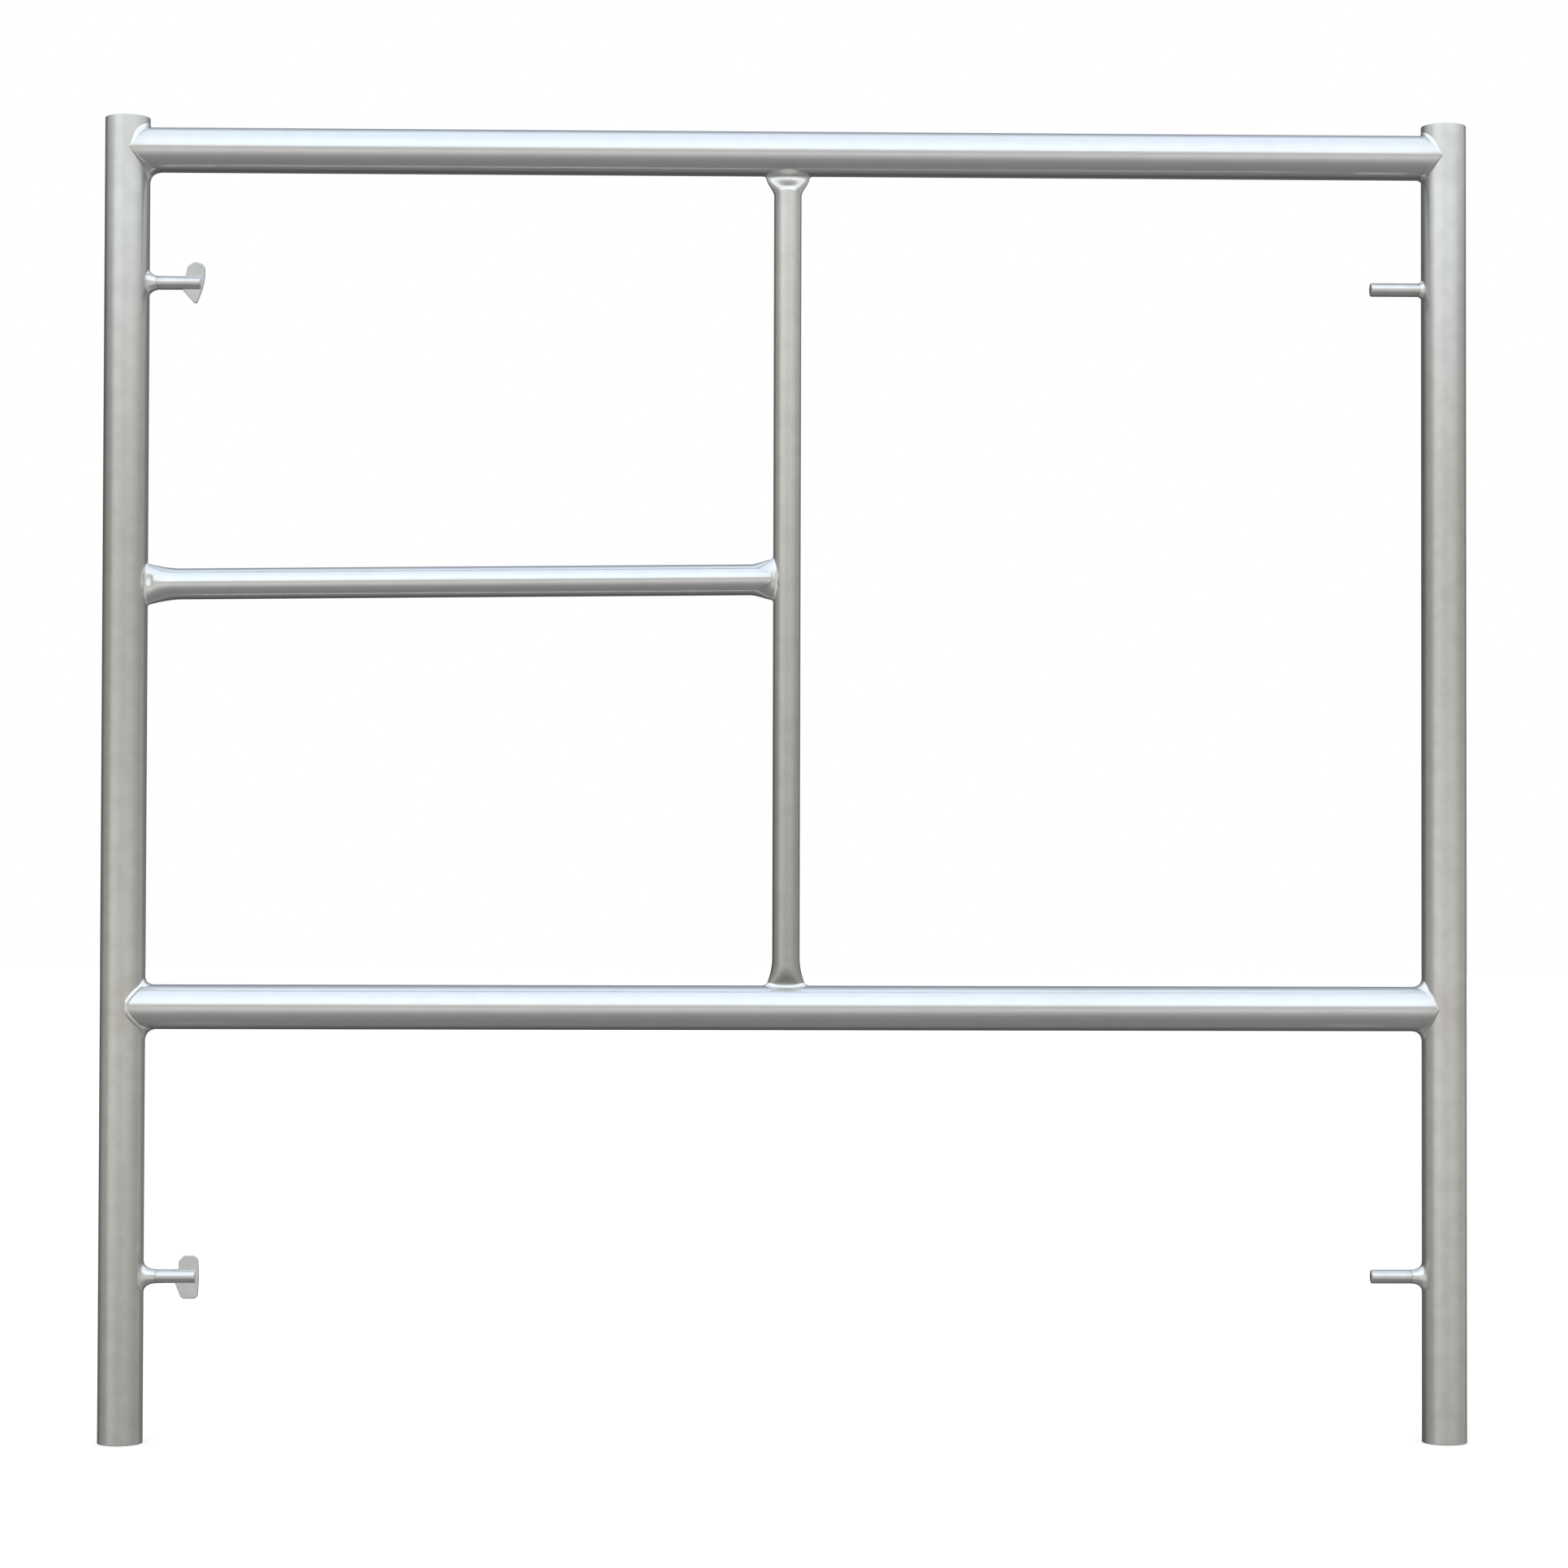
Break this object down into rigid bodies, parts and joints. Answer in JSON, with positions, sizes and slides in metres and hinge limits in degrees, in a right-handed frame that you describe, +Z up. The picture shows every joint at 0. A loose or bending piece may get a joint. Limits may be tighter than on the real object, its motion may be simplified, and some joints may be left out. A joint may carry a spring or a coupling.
{
  "type": "frame scaffold section",
  "caption": "Welded steel scaffold frame: two open tube legs, header and ledger, centre post, side rung, and brace studs with swinging locks.",
  "frame": {"origin": "on the ground, midway between the two legs", "axes": "+Z up, +X across the frame from the slotted studs' leg to the plain studs' leg, +Y through it"},
  "size_m": [1.2604, 0.0444, 1.2192],
  "materials": {
    "tube": "satin galvanised steel tube",
    "weld": "rippled weld bead under the same satin finish",
    "stud": "satin turned steel",
    "toggle": "darker zinc plate with worn edges",
    "rivet": "dull steel, dressed flush"
  },
  "bodies": {
    "frame": {"left_leg": "tube", "right_leg": "tube", "header_tube": "tube", "lower_ledger": "tube", "center_post": "tube", "side_rung": "tube", "upper_left_stud": "stud", "lower_left_stud": "stud", "upper_right_stud": "stud", "lower_right_stud": "stud", "upper_left_toggle_rivet": "rivet", "lower_left_toggle_rivet": "rivet", "header_left_weld": "weld", "header_right_weld": "weld", "ledger_left_weld": "weld", "ledger_right_weld": "weld", "post_top_weld": "weld", "post_bottom_weld": "weld", "rung_left_weld": "weld", "rung_right_weld": "weld", "upper_left_stud_weld": "weld", "lower_left_stud_weld": "weld", "upper_right_stud_weld": "weld", "lower_right_stud_weld": "weld"},
    "upper_left_lock": {"upper_left_toggle": "toggle"},
    "lower_left_lock": {"lower_left_toggle": "toggle"}
  },
  "joints": [
    {"name": "upper_left_toggle_swing", "type": "hinge", "parent": "frame", "child": "upper_left_lock", "pos_m": [-0.54745, 0, 1.0668], "axis": [0, 1, 0], "range_deg": [-102, 78]},
    {"name": "lower_left_toggle_swing", "type": "hinge", "parent": "frame", "child": "lower_left_lock", "pos_m": [-0.54745, 0, 0.1524], "axis": [0, 1, 0], "range_deg": [-90, 90]}
  ]
}
